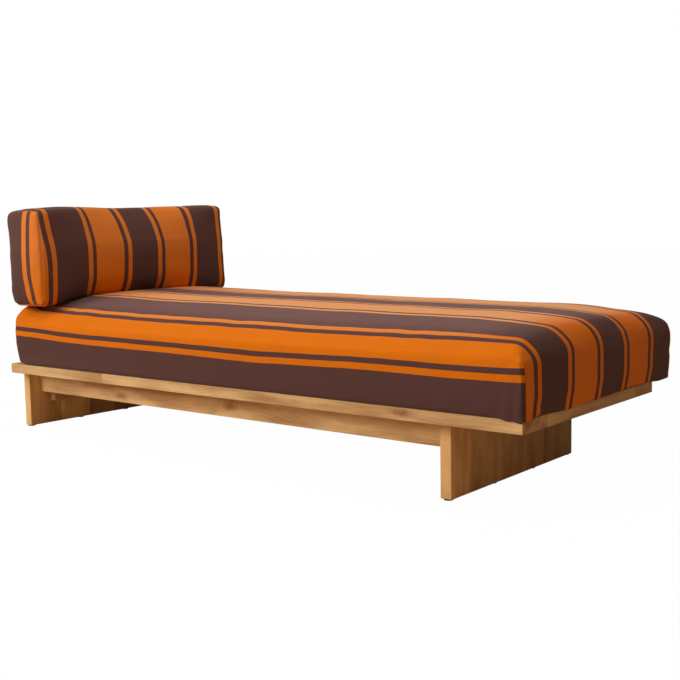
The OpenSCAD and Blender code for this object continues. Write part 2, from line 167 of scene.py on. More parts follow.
def newGroup(name, inputs, outputs):
    tree = bpy.data.node_groups.new(name, "ShaderNodeTree")
    for label, (kind, value) in inputs.items():
        socket = tree.interface.new_socket(label, in_out="INPUT", socket_type="NodeSocket" + kind)
        if value is not None:
            socket.default_value = value
    for label, kind in outputs.items():
        tree.interface.new_socket(label, in_out="OUTPUT", socket_type="NodeSocket" + kind)
    return tree, tree.nodes.new("NodeGroupInput").outputs, tree.nodes.new("NodeGroupOutput").inputs


def useGroup(tree, group, **inputs):
    return node(tree, "Group", inputs, node_tree=group).outputs


def newMaterial(name, inputs):
    material = bpy.data.materials.new(name)
    material.use_nodes = True
    shader = material.node_tree.nodes["Principled BSDF"]
    feedAll(shader, inputs)
    return material, material.node_tree, shader


def bumpFrom(shader, height, strength, distance):
    made = node(shader.id_data, "Bump", {"Height": height, "Strength": strength, "Distance": distance})
    feed(shader.inputs["Normal"], made.outputs["Normal"])


def colour(red, green, blue):
    def linear(value):
        value /= 255
        return value / 12.92 if value <= 0.04045 else ((value + 0.055) / 1.055) ** 2.4
    return (linear(red), linear(green), linear(blue), 1)


studio = {
    "floorHalf": 30.0,  # metres
    "paper": (1, 1, 1, 1),
    "ambient": (0.35, 0.24, 0.165, 1),  # light from all around, as the object sees it
    "aim": (0, 0, 300),
    "keyFrom": (-0.42, -0.80, 0.44),
    "keyDistance": 7.0,
    "keySize": 3.3,
    "keyPower": 372,
    "topPlace": (380, 0, 3000),
    "topSize": 2.4,
    "topPower": 38,
    "floorGlow": 0.985,  # share of the paper that looks lit by itself, so that shadows stay pale
    "floorBounce": (0.54, 0.41, 0.29, 1),
}


def addStudio(values):
    material, tree, shader = newMaterial("paper", {"Roughness": 1.0, "Specular IOR Level": 0})
    seen = node(tree, "LightPath").outputs["Is Camera Ray"]
    feed(shader.inputs["Base Color"], mixColours(seen, values["floorBounce"], values["paper"]))
    glow = node(tree, "Emission", {"Color": values["paper"], "Strength": 1.0}).outputs[0]
    share = times(seen, values["floorGlow"])
    mixed = node(tree, "MixShader", {0: share, 1: shader.outputs[0], 2: glow}).outputs[0]
    feed(tree.nodes["Material Output"].inputs["Surface"], mixed)
    bm = bmesh.new()
    bmesh.ops.create_grid(bm, x_segments=8, y_segments=8, size=values["floorHalf"])
    floor = addMesh("paperFloor", bm, [material])

    world = bpy.data.worlds.new("studioWorld")
    world.use_nodes = True
    seen = node(world.node_tree, "LightPath").outputs["Is Camera Ray"]
    back = world.node_tree.nodes["Background"]
    feed(back.inputs["Color"], mixColours(seen, values["ambient"], values["paper"]))
    bpy.context.scene.world = world

    scene = bpy.context.scene
    scene.view_settings.view_transform = "Standard"
    scene.view_settings.look = "None"

    direction = Vector(values["keyFrom"]).normalized()
    aim = place(*values["aim"])
    addLight("keyLight", aim + direction * values["keyDistance"], aim, values["keySize"], values["keyPower"])
    addLight("topLight", place(*values["topPlace"]), place(values["topPlace"][0], 0, 0),
             values["topSize"], values["topPower"])


def addLight(name, at, target, size, power):
    data = bpy.data.lights.new(name, "AREA")
    data.shape = "SQUARE"
    data.size = size
    data.energy = power
    light = addObject(name, data)
    light.location = at
    light.rotation_euler = (target - at).to_track_quat("-Z", "Y").to_euler()


addStudio(studio)
print("floor and lights placed")


woodGrain = {
    "ringWidth": 0.0048,  # metres
    "ringSway": 0.09,
    "knotBend": 0.022,  # how far the rings are pushed aside by a knot
    "lateWood": 0.22,  # how much darker the end of a ring is
    "fibres": 0.3,
    "staveChange": 0.24,  # between one glued strip and the next
    "knotDepth": 0.5,
    "ringWaver": 1.6,
    "ringEdge": 2.2,  # how sharply a ring ends
    "knotEdge": 1.8,
    "relief": (0.5, 0.35, 0.6),  # of fibres, late wood and pores
    # patterns drawn out along the grain: scale along it, scale across it, detail, roughness
    "spread": {"rings": (2.0, 40.0, 2.0, 0.5), "streaks": (1.6, 30.0, 4.0, 0.6), "figure": (3.2, 16.0, 3.0, 0.55),
               "blush": (2.2, 10.0, 2.0, 0.5), "fibres": (14.0, 650.0, 2.0, 0.5), "pores": (45.0, 1200.0, 1.0, 0.5)},
    "blush": (colour(178, 112, 70), 0.3),  # tint and share
    "pores": (colour(96, 60, 34), 0.3),
    "knot": (colour(128, 74, 42), 0.5),
    "rim": (colour(112, 72, 40), 0.3),
    "endGrain": (colour(112, 72, 34), 0.42),
    "roughness": (0.5, 0.64),
}


def makeWoodGroup(values):
    tree, given, result = newGroup(
        "grainOfWood",
        {"Vector": ("Vector", None), "Stave": ("Float", 0.0), "Rim": ("Float", 0.0), "Knot": ("Float", 0.0),
         "End": ("Float", 0.0), "Dim": ("Float", 0.0), "Streak": ("Float", 1.0),
         "Light": ("Color", colour(214, 176, 124)), "Dark": ("Color", colour(160, 112, 66)),
         "Ring Width": ("Float", values["ringWidth"])},
        {"Color": "Color", "Roughness": "Float", "Height": "Float"})

    def drawnOut(vector, key):
        along, across, detail, roughness = values["spread"][key]
        return speckle(stretch(vector, (along, across, across)), 1.0, detail, roughness)

    chance = node(tree, "TexWhiteNoise", {"W": given["Stave"]}, noise_dimensions="1D").outputs
    shift = stretch(chance["Color"], (7.0, 0.3, 0.3))
    inWood = vectorCalc("ADD", given["Vector"], shift)
    # rings around a wandering pith, bent around each knot
    slow = stretch(inWood, (1.3, 6.0, 6.0))
    sway = node(tree, "TexNoise", {"Vector": slow, "Scale": 1.0, "Detail": 2.0}).outputs["Color"]
    sway = vectorCalc("SUBTRACT", sway, (0.5, 0.5, 0.5))
    swayed = vectorCalc("ADD", inWood, stretch(sway, (0.0, values["ringSway"], values["ringSway"])))
    parted = node(tree, "SeparateXYZ", {"Vector": swayed}).outputs
    squares = [times(parted[axis], parted[axis]) for axis in ("Y", "Z")]
    radius = calc("SQRT", plus(*squares))
    radius = plus(radius, times(given["Knot"], values["knotBend"]))
    turns = calc("DIVIDE", radius, given["Ring Width"])
    turns = plus(turns, times(drawnOut(swayed, "rings"), values["ringWaver"]))
    late = calc("POWER", calc("FRACT", turns), values["ringEdge"])
    streaks = times(remap(drawnOut(inWood, "streaks"), 0.36, 0.66, -0.1, 0.5), given["Streak"])
    figure = drawnOut(swayed, "figure")
    blush, fibres = drawnOut(inWood, "blush"), drawnOut(inWood, "fibres")
    pores = remap(drawnOut(inWood, "pores"), 0.66, 0.74)
    tone = plus(times(late, values["lateWood"]), streaks)
    tone = plus(tone, remap(figure, 0.38, 0.64, -0.2, 0.5))
    tone = plus(tone, times(minus(fibres, 0.5), values["fibres"]))
    tone = plus(tone, times(minus(chance["Value"], 0.5), values["staveChange"]))
    tone = plus(tone, times(given["Knot"], values["knotDepth"]), clamp=True)
    wood = mixColours(tone, given["Light"], given["Dark"])
    tint, share = values["blush"]
    wood = mixColours(remap(blush, 0.5, 0.72, 0.0, share), wood, tint)
    knotCore = calc("POWER", given["Knot"], values["knotEdge"])
    for key, mask in (("pores", pores), ("knot", knotCore), ("rim", given["Rim"]), ("endGrain", given["End"])):
        tint, share = values[key]
        wood = mixColours(times(mask, share), wood, tint)
    # each strip painted darker or lighter: painted shade and painted light
    wood = mixColours(1.0, wood, minus(1.0, given["Dim"]), "MULTIPLY")
    feed(result["Color"], wood)
    feed(result["Roughness"], remap(tone, 0, 1, *values["roughness"]))
    ofFibres, ofLate, ofPores = values["relief"]
    height = minus(minus(times(fibres, ofFibres), times(late, ofLate)), times(pores, ofPores))
    feed(result["Height"], height)
    return tree


def makeKnotGroup():
    tree, given, result = newGroup(
        "knotSpot", {label: ("Vector", None) for label in ("Vector", "Place", "Reach")}, {"Mask": "Float"})
    offset = vectorCalc("SUBTRACT", given["Vector"], given["Place"])
    offset = vectorCalc("DIVIDE", offset, given["Reach"])
    ragged = times(minus(speckle(given["Vector"], 60.0, 3.0), 0.5), 0.9)
    away = plus(vectorCalc("LENGTH", offset), ragged)
    feed(result["Mask"], remap(away, 1.6, 0.15))
    return tree


canvas = {
    "overlap": 0.4,
    "lengthwise": ((900.0, 14.0, 1.0), 0.5),  # scale and share of the thicker and thinner threads
    "crosswise": ((10.0, 700.0, 1.0), 0.3),
    "clouds": (9.0, 0.2),
}


def makeWeaveGroup(values):
    tree, given, result = newGroup("canvasWeave", {"Vector": ("Vector", None), "Pitch": ("Float", 0.0009)},
                                   {"Height": "Float", "Shade": "Float", "Slub": "Float"})
    perMetre = calc("DIVIDE", 1.0, given["Pitch"])
    threads = node(tree, "VectorMath", {0: given["Vector"], "Scale": perMetre}, operation="SCALE")
    parted = node(tree, "SeparateXYZ", {"Vector": threads.outputs[0]}).outputs
    warp, weft = (calc("ABSOLUTE", calc("SINE", times(parted[axis], math.pi)))
                  for axis in ("X", "Y"))
    # warp and weft lie on top in turn
    square = plus(calc("FLOOR", parted["X"]), calc("FLOOR", parted["Y"]))
    over = times(calc("FRACT", times(square, 0.5)), 2.0)
    under = minus(1.0, over)
    warpTop = times(over, times(warp, plus(weft, values["overlap"])))
    weftTop = times(under, times(weft, plus(warp, values["overlap"])))
    height = plus(warpTop, weftTop)
    feed(result["Height"], height)
    # thicker and thinner threads both ways, and slow clouds
    slub = plus(*(times(speckle(stretch(given["Vector"], scale), 1.0), share)
                  for scale, share in (values["lengthwise"], values["crosswise"])))
    scale, share = values["clouds"]
    slub = plus(slub, times(speckle(given["Vector"], scale, 3.0), share))
    feed(result["Slub"], slub)
    feed(result["Shade"], remap(height, 0.0, 1.2))
    return tree


woodGroup = makeWoodGroup(woodGrain)
knotGroup = makeKnotGroup()
weaveGroup = makeWeaveGroup(canvas)

# the last number of a face is its painted light and shade
faceMarks = ("stave", "rim", "endGrain", "paintedLightShade")  # numbers that each face of a board carries
alongX, alongY, alongZ = (0, 0, 0), (0, 0, -math.pi / 2), (0, math.pi / 2, 0)
# knots as (place, reach)
woodKnots = (((668, -370, 214), (34, 40, 9)), ((-18, -278, 153), (24, 40, 13)), ((-520, -278, 140), (30, 40, 10)))


def woodMaterial(name, turn, light, dark, streak, knots=()):
    material, tree, shader = newMaterial(name, {"Specular IOR Level": 0.3})
    coords = node(tree, "TexCoord").outputs["Object"]
    turned = node(tree, "Mapping", {"Vector": coords, "Rotation": turn}).outputs[0]
    stave, rim, endGrain, paintedLightShade = (node(tree, "Attribute", attribute_name=label).outputs["Fac"]
                                 for label in faceMarks)
    knot = 0.0
    for spot, reach in knots:
        reach = [value * mm for value in reach]
        mask = useGroup(tree, knotGroup, Vector=coords, Place=place(*spot), Reach=reach)["Mask"]
        knot = mask if knot == 0.0 else calc("MAXIMUM", knot, mask)
    grain = useGroup(tree, woodGroup, Vector=turned, Stave=stave, Rim=rim, End=endGrain, Dim=paintedLightShade, Knot=knot,
                     Streak=streak, Light=light, Dark=dark)
    feedAll(shader, {"Base Color": grain["Color"], "Roughness": grain["Roughness"]})
    bumpFrom(shader, grain["Height"], 0.3, 0.0004)
    return material


# light tone, dark tone, share of streaks
boardTones = (colour(216, 181, 126), colour(156, 112, 66), 0.8)
legTones = (colour(214, 174, 114), colour(166, 120, 68), 0.5)
slatTones = (colour(222, 190, 142), colour(176, 132, 86), 0.9)
woodX = woodMaterial("oiledWoodAlongX", alongX, *boardTones, woodKnots)
woodY = woodMaterial("oiledWoodAlongY", alongY, *boardTones)
woodZ = woodMaterial("oiledWoodAlongZ", alongZ, *legTones)
slatWood = woodMaterial("slatWood", alongY, *slatTones)
dowelWood = woodMaterial("dowelWood", alongX, *slatTones)


def addPiece(name, bm, body, materials, replaced=()):
    piece = addMesh(name, bm, materials)
    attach(piece, body)
    if replaced:
        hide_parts(*replaced)
    return piece


def addBar(bm, size, at, rounding, segments=1):
    made = bmesh.ops.create_cube(bm, size=1.0)["verts"]
    bmesh.ops.scale(bm, vec=size, verts=made)
    bmesh.ops.translate(bm, vec=at, verts=made)
    edges = [edge for edge in bm.edges if edge.verts[0] in made]
    return bmesh.ops.bevel(bm, geom=edges, offset=rounding * mm, offset_type="OFFSET", segments=segments, profile=0.5,
                           affect="EDGES", material=-1)["faces"]


def addBoard(name, nodeName, axis, cuts, paintedLightShades, wood, seed):
    low, high = (Vector(corner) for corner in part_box(nodeName))
    fibres = 2 if wood is woodZ else axis
    bm = bmesh.new()
    stave, rim, endGrain, paintedLightShade = (bm.faces.layers.float.new(label) for label in faceMarks)
    for face in addBar(bm, high - low, (high + low) / 2, boardEdge["rounding"], boardEdge["segments"]):
        face[rim] = boardEdge["wear"]
        face.smooth = True
    across = Vector([float(index == axis) for index in range(3)])
    glue = boardEdge["glueLine"] / 2
    for cut in cuts:
        for side in (-glue, glue):
            at = middle[axis] + (cut + side) * mm
            bmesh.ops.bisect_plane(bm, geom=bm.verts[:] + bm.edges[:] + bm.faces[:], plane_co=across * at,
                                   plane_no=across)
    for face in bm.faces:
        at = (face.calc_center_median()[axis] - middle[axis]) / mm
        index = sum(at > cut for cut in cuts)
        face[stave] = seed + boardEdge["staveStep"] * index
        face[paintedLightShade] = paintedLightShades[index]
        if any(abs(at - cut) < glue for cut in cuts):
            face[rim] = boardEdge["glueTone"]
        if abs(face.normal[fibres]) > 0.7:
            face[endGrain] = 1.0
    addPiece(name, bm, "frame", [wood], [nodeName])


boardEdge = {
    "rounding": 1.6,
    "segments": 3,
    "wear": 0.5,
    "glueLine": 0.7,
    "glueTone": 1.5,
    "staveStep": 0.37,  # between the seeds of neighbouring strips
}
# node, axis across the glue lines, their places, how much darker each strip between them is painted (painted shade;
# below zero, lighter as painted light), wood, seed
boards = {
    "frontRail": ("front_rail", 0, (-496,), (0.04, -0.04), woodX, 1.3),
    "rearRail": ("rear_rail", 0, (-210, 655), (0, 0.05, 0), woodX, 4.1),
    "headRail": ("head_rail", 1, (), (0.04,), woodY, 2.2),
    "footRail": ("foot_rail", 1, (60,), (0.15, 0.28), woodY, 5.2),
    "headLeg": ("head_leg", 1, (-196, -70, 52, 181), (-0.12, -0.6, -0.1, 0.15, 0.3), woodZ, 3.4),
    "footLeg": ("foot_leg", 1, (-232, -72, 24, 150, 246), (-0.18, 0.06, 0.16, 0.24, 0.38, 0.48), woodZ, 6.7),
    "frontBeam": ("front_beam", 0, (), (-0.24,), woodX, 7.3),
    "rearBeam": ("rear_beam", 0, (350,), (0, 0.05), woodX, 8.9),
    "headCrossbar": ("head_crossbar", 1, (), (-0.1,), woodY, 9.4),
    "footCrossbar": ("foot_crossbar", 1, (), (0,), woodY, 10.1),
}
for boardName, row in boards.items():
    addBoard(boardName, *row)
print("boards made")


def dress(material, *names):
    for name in names:
        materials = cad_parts[name].data.materials
        if not materials:
            materials.append(material)
        for index in range(len(materials)):
            materials[index] = material


dress(slatWood, *[f"slat_{number:02d}" for number in range(1, 15)])
dress(woodX, "front_ledger", "rear_ledger")
dress(dowelWood, "rail_dowels", "leg_dowels", "beam_dowels")


def dimmed(tone, share):
    return [value * share for value in tone[:3]] + [1]


metal = {"metallic": 1.0, "spots": (260.0, 4.0), "dark": 0.72, "duller": (-0.08, 0.12), "grit": (2400.0, 2.0),
         "bump": (0.15, 0.0002)}
plastic = {"metallic": 0.0, "spots": (120.0, 3.0), "dark": 0.7, "duller": (-0.06, 0.1), "grit": (1800.0, 3.0),
           "bump": (0.25, 0.0003)}


def wornMaterial(name, values, tone, roughness):
    material, tree, shader = newMaterial(name, {"Metallic": values["metallic"]})
    coords = node(tree, "TexCoord").outputs["Object"]
    worn = speckle(coords, *values["spots"])
    dull = remap(worn, 0.3, 0.7, *(roughness + more for more in values["duller"]))
    feedAll(shader, {"Base Color": mixColours(worn, tone, dimmed(tone, values["dark"])), "Roughness": dull})
    bumpFrom(shader, speckle(coords, *values["grit"]), *values["bump"])
    return material


screwSteel = wornMaterial("screwSteel", metal, colour(178, 176, 170), 0.34)
zipMetal = wornMaterial("zipMetal", metal, colour(120, 112, 104), 0.3)
glidePlastic = wornMaterial("glidePlastic", plastic, colour(52, 50, 48), 0.5)
zipCoil = wornMaterial("zipCoil", plastic, colour(46, 32, 30), 0.42)
dress(screwSteel, "ledger_screws", "slat_screws", "beam_screws", "crossbar_screws")
dress(glidePlastic, "head_leg_glides", "foot_leg_glides")
dress(zipMetal, "mattress_zip_slider", "mattress_zip_pull", "bolster_zip_slider", "bolster_zip_pull")

cloth = {
    "widths": (125.5, 18.7, 16.3, 125.5, 16.3, 18.7),  # brown first, then in turn
    "brown": colour(91, 63, 59),
    "orange": colour(224, 118, 12),
    # paler tones painted where a cover is seen at a grazing angle or lit from above: painted sheen and painted
    # highlight
    "highlightPaintedBrown": colour(121, 91, 88),
    "highlightPaintedOrange": colour(240, 172, 112),
    "shadow": (0.02, 0.01, 0.008, 1),
    "slub": 0.16,  # shares of the shadow
    "gaps": 0.22,
    "seams": 0.45,
    "pitch": 0.9,
    "raggedEdge": 1.2,
}
# the first mark is the painted highlight, the second the painted shade in the seams
skinMarks = ("paintedHighlight", "paintedSeamShade")  # numbers that each point of a cover carries
stripeMarks = np.concatenate(([0], np.cumsum(cloth["widths"])))
stripePeriod = stripeMarks[-1]


def stripeMaterial(name, values):
    material, tree, shader = newMaterial(name, {"Roughness": 0.9, "Specular IOR Level": 0.06, "Sheen Weight": 0.15,
                                                "Sheen Roughness": 0.26, "Sheen Tint": (1, 0.94, 0.88, 1)})
    uv = node(tree, "UVMap", uv_map="cloth").outputs[0]
    weave = useGroup(tree, weaveGroup, Vector=uv, Pitch=values["pitch"] * mm)
    # the stripes' edges wander by a thread or so
    ragged = times(minus(speckle(uv, 700.0), 0.5), values["raggedEdge"] * mm)
    across = plus(node(tree, "SeparateXYZ", {"Vector": uv}).outputs["X"], ragged)
    phase = calc("FRACT", calc("DIVIDE", across, stripePeriod * mm))
    ramp = node(tree, "ValToRGB", {"Fac": phase})
    ramp.color_ramp.interpolation = "CONSTANT"
    stops = ramp.color_ramp.elements
    while len(stops) < len(values["widths"]):
        stops.new(0.5)
    for index, mark in enumerate(stripeMarks[:-1]):
        stops[index].position = mark / stripePeriod
        stops[index].color = (1, 1, 1, 1) if index % 2 else (0, 0, 0, 1)
    isOrange = ramp.outputs["Color"]
    paintedHighlight, paintedSeamShade = (node(tree, "Attribute", attribute_name=label).outputs["Fac"] for label in skinMarks)
    fresh = mixColours(isOrange, values["brown"], values["orange"])
    # the paler tones are painted sheen and painted highlight
    pale = mixColours(isOrange, values["highlightPaintedBrown"], values["highlightPaintedOrange"])
    shade = mixColours(paintedHighlight, fresh, pale)
    # thick threads are darker, and painted shade darkens the gaps between threads and the seams
    slub = remap(weave["Slub"], 0.3, 0.7, 0.0, values["slub"])
    gaps = times(minus(1.0, weave["Shade"]), values["gaps"])
    for amount in (slub, gaps, times(paintedSeamShade, values["seams"])):
        shade = mixColours(amount, shade, values["shadow"])
    feed(shader.inputs["Base Color"], shade)
    bumpFrom(shader, weave["Height"], 0.35, 0.0004)
    return material


def plainClothMaterial(name, tone, pitch):
    material, tree, shader = newMaterial(name, {"Roughness": 0.9, "Sheen Weight": 0.2})
    coords = node(tree, "TexCoord").outputs["Object"]
    weave = useGroup(tree, weaveGroup, Vector=coords, Pitch=pitch * mm)
    # painted shade in the gaps between threads
    gaps = times(minus(1.0, weave["Shade"]), 0.4)
    shade = mixColours(gaps, tone, dimmed(tone, 0.3))
    feed(shader.inputs["Base Color"], shade)
    bumpFrom(shader, weave["Height"], 0.4, 0.0004)
    return material


stripedCloth = stripeMaterial("stripedCanvas", cloth)
liningCloth = plainClothMaterial("liningCloth", colour(70, 62, 58), 1.1)
tapeCloth = plainClothMaterial("zipTapeCloth", colour(66, 46, 42), 0.8)
threadCloth = plainClothMaterial("threadCloth", colour(118, 84, 70), 0.3)


def easedMarks(low, high, count, fine, reach):
    # places from low to high whose steps grow finer towards both ends
    steps = [1 - fine * (math.exp(-i / reach) + math.exp(-(count - 1 - i) / reach)) for i in range(count)]
    marks = np.concatenate(([0], np.cumsum(steps)))
    return low + (high - low) * marks / marks[-1]


def gridBox(values):
    # a box whose sides are cut at eased places, and the number of the panel that each face lies on
    low, high = np.array(values["low"], float), np.array(values["high"], float)
    marks = [easedMarks(low[axis], high[axis], *values["cuts"][axis]) for axis in range(3)]
    bm = bmesh.new()
    bmesh.ops.create_cube(bm, size=2.0)
    for axis in range(3):
        spans = [edge for edge in bm.edges if abs(edge.verts[0].co[axis] - edge.verts[1].co[axis]) > 1.5]
        bmesh.ops.subdivide_edges(bm, edges=spans, cuts=len(marks[axis]) - 2, use_grid_fill=True)
    panel = bm.faces.layers.int.new("panel")
    bm.normal_update()
    for face in bm.faces:
        axis = max(range(3), key=lambda a: abs(face.normal[a]))
        face[panel] = 2 * axis + (face.normal[axis] > 0)
    for vert in bm.verts:
        steps = [round((vert.co[axis] + 1) / 2 * (len(marks[axis]) - 1)) for axis in range(3)]
        vert.co = [marks[axis][steps[axis]] for axis in range(3)]
    return bm, panel, np.array([vert.co for vert in bm.verts]), low, high


def roundOff(spots, low, high, radiusLow, radiusHigh):
    # moves points on a box's skin onto its rounded edges; every point has its own radii
    inner = np.clip(spots, low + radiusLow, high - radiusHigh)
    away = spots - inner
    radius = np.where(away < 0, radiusLow, radiusHigh)
    share = away / radius
    length = np.maximum(np.linalg.norm(share, axis=1, keepdims=True), 1e-9)
    return inner + share / length * radius


def read(table, value):
    return np.interp(value, *np.array(table, float).T)


def ease(value, start, end):
    share = np.clip((value - start) / (end - start), 0, 1)
    return share * share * (3 - 2 * share)


def hump(distance, width):
    return np.exp(-(distance / width) ** 2)


def softNoise(spots, scale, seed):
    x, y, z = scale
    return np.array([noise.noise(Vector((p[0] * x + seed, p[1] * y, p[2] * z))) for p in spots])


def waver(flat, layers):
    return sum(height * softNoise(flat, scale, seed) for height, scale, seed in layers)


def toRoom(spots):
    return spots * mm + np.array(middle)


def skinOf(piece, what):
    values = np.empty(len(piece.data.vertices) * 3)
    piece.data.vertices.foreach_get(what, values)
    return values.reshape(-1, 3)


def shiftSkin(piece, move):
    piece.data.vertices.foreach_set("co", (skinOf(piece, "co") + move).ravel())
    piece.data.update()


def swellSkin(piece, move):
    # along the normals, in millimetres
    shiftSkin(piece, skinOf(piece, "normal") * move[:, None] * mm)


def layCloth(bm, spots, clothSpot):
    # every corner of every face gets its place on the cloth, and every point goes to its spot
    layer = bm.loops.layers.uv.new("cloth")
    bm.verts.index_update()
    for face in bm.faces:
        for loop in face.loops:
            across, along = clothSpot(face, loop.vert.index)
            loop[layer].uv = (across * mm, along * mm)
        face.smooth = True
    for vert, spot in zip(bm.verts, toRoom(spots)):
        vert.co = spot


swell = {
    "frames": 20,
    "smoothings": (3, 0.6),  # turns, and the share that the neighbours have
    "cap": 3.0,
    "settings": {"quality": 6, "mass": 0.25, "tension_stiffness": 12, "compression_stiffness": 8, "shear_stiffness": 6,
                 "bending_stiffness": 0.4, "use_pressure": True, "uniform_pressure_force": 3.0, "shrink_min": -0.01,
                 "vertex_group_mass": "seams", "pin_stiffness": 3.0},
}


def puffUp(piece, pinned, values):
    # the cover swells under pressure as cloth, and keeps a smoothed part of what it moved, up to the cap
    mesh = piece.data
    before = skinOf(piece, "co")
    group = piece.vertex_groups.new(name="seams")
    group.add([int(index) for index in np.where(pinned)[0]], 1.0, "REPLACE")
    modifier = piece.modifiers.new("swell", "CLOTH")
    for key, value in values["settings"].items():
        setattr(modifier.settings, key, value)
    modifier.settings.effector_weights.gravity = 0
    modifier.collision_settings.use_collision = False
    modifier.point_cache.frame_start = 1
    modifier.point_cache.frame_end = values["frames"]
    scene = bpy.context.scene
    for step in range(1, values["frames"] + 1):
        scene.frame_set(step)
    moved = skinOf(piece.evaluated_get(bpy.context.evaluated_depsgraph_get()), "co") - before
    piece.modifiers.remove(modifier)
    scene.frame_set(1)
    ends = np.array([edge.vertices for edge in mesh.edges])
    count = np.bincount(ends.ravel(), minlength=len(moved))[:, None]
    turns, share = values["smoothings"]
    for turn in range(turns):
        total = np.zeros_like(moved)
        np.add.at(total, ends[:, 0], moved[ends[:, 1]])
        np.add.at(total, ends[:, 1], moved[ends[:, 0]])
        moved = (1 - share) * moved + share * total / count
    length = np.linalg.norm(moved, axis=1, keepdims=True)
    print(f"{piece.name}: cloth moved up to {length.max() / mm:.1f} mm, half of it under "
          f"{np.median(length) / mm:.1f}")
    cap = values["cap"] * mm
    shiftSkin(piece, moved * (np.tanh(length / cap) * cap / np.maximum(length, 1e-9)))


pucker = {
    "seamWidth": 4.0,
    "beside": (0.9, 26.0),  # height of the small puckers and how far they reach from a seam
    "atCorner": (2.2, 45.0),
    "start": 5.0,
    "grain": 0.035,
    "slow": (1.8, (0.0055, 0.007, 0.008)),
    "quick": (0.45, (0.016, 0.018, 0.02)),
    "rest": 12.0,  # height above the bottom in which it fades out
}


def ruffle(piece, flat, seamGap, cornerGap, depth, seed, values=pucker):
    # seams drawn in, small puckers beside them and slow unevenness elsewhere
    move = -depth * hump(seamGap, values["seamWidth"])
    beside, atCorner = (height * np.exp(-(gap / reach)) * (1 - np.exp(-(gap / values["start"])))
                        for gap, (height, reach) in ((seamGap, values["beside"]), (cornerGap, values["atCorner"])))
    move += (beside + atCorner) * softNoise(flat, [values["grain"]] * 3, seed)
    for shift, (height, scale) in ((5, values["slow"]), (9, values["quick"])):
        move += height * softNoise(flat, scale, seed + shift)
    resting = np.clip((flat[:, 2] - flat[:, 2].min()) / values["rest"], 0, 1)
    swellSkin(piece, move * resting)


def markSkin(piece, *marks):
    for label, values in zip(skinMarks, marks):
        layer = piece.data.attributes.new(label, "FLOAT", "POINT")
        layer.data.foreach_set("value", values.astype(np.float32))


tapeRoom = {
    "under": 0.6,  # how far the cover stays under the tape
    "beside": (3, 18),  # where it comes out again
    "most": 20,
}


def clearZip(piece, tapeName, axis, outwards, values=tapeRoom):
    # the cover stays just under the zip's tape and comes out again around it
    spots = skinOf(piece, "co")
    low, high = (np.array(corner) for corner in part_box(tapeName))
    beyond = np.maximum(np.maximum(low - spots, spots - high), 0) / mm
    beyond[:, axis] = 0
    near = 1 - ease(np.linalg.norm(beyond, axis=1), *values["beside"])
    limit = (low[axis] if outwards > 0 else high[axis]) - outwards * values["under"] * mm
    over = (spots[:, axis] - limit) * outwards
    move = np.zeros_like(spots)
    move[:, axis] = -outwards * np.where((over > 0) & (over < values["most"] * mm), over * near, 0)
    shiftSkin(piece, move)


def smoothSkin(piece):
    modifier = piece.modifiers.new("smooth", "SUBSURF")
    modifier.levels = modifier.render_levels = 1


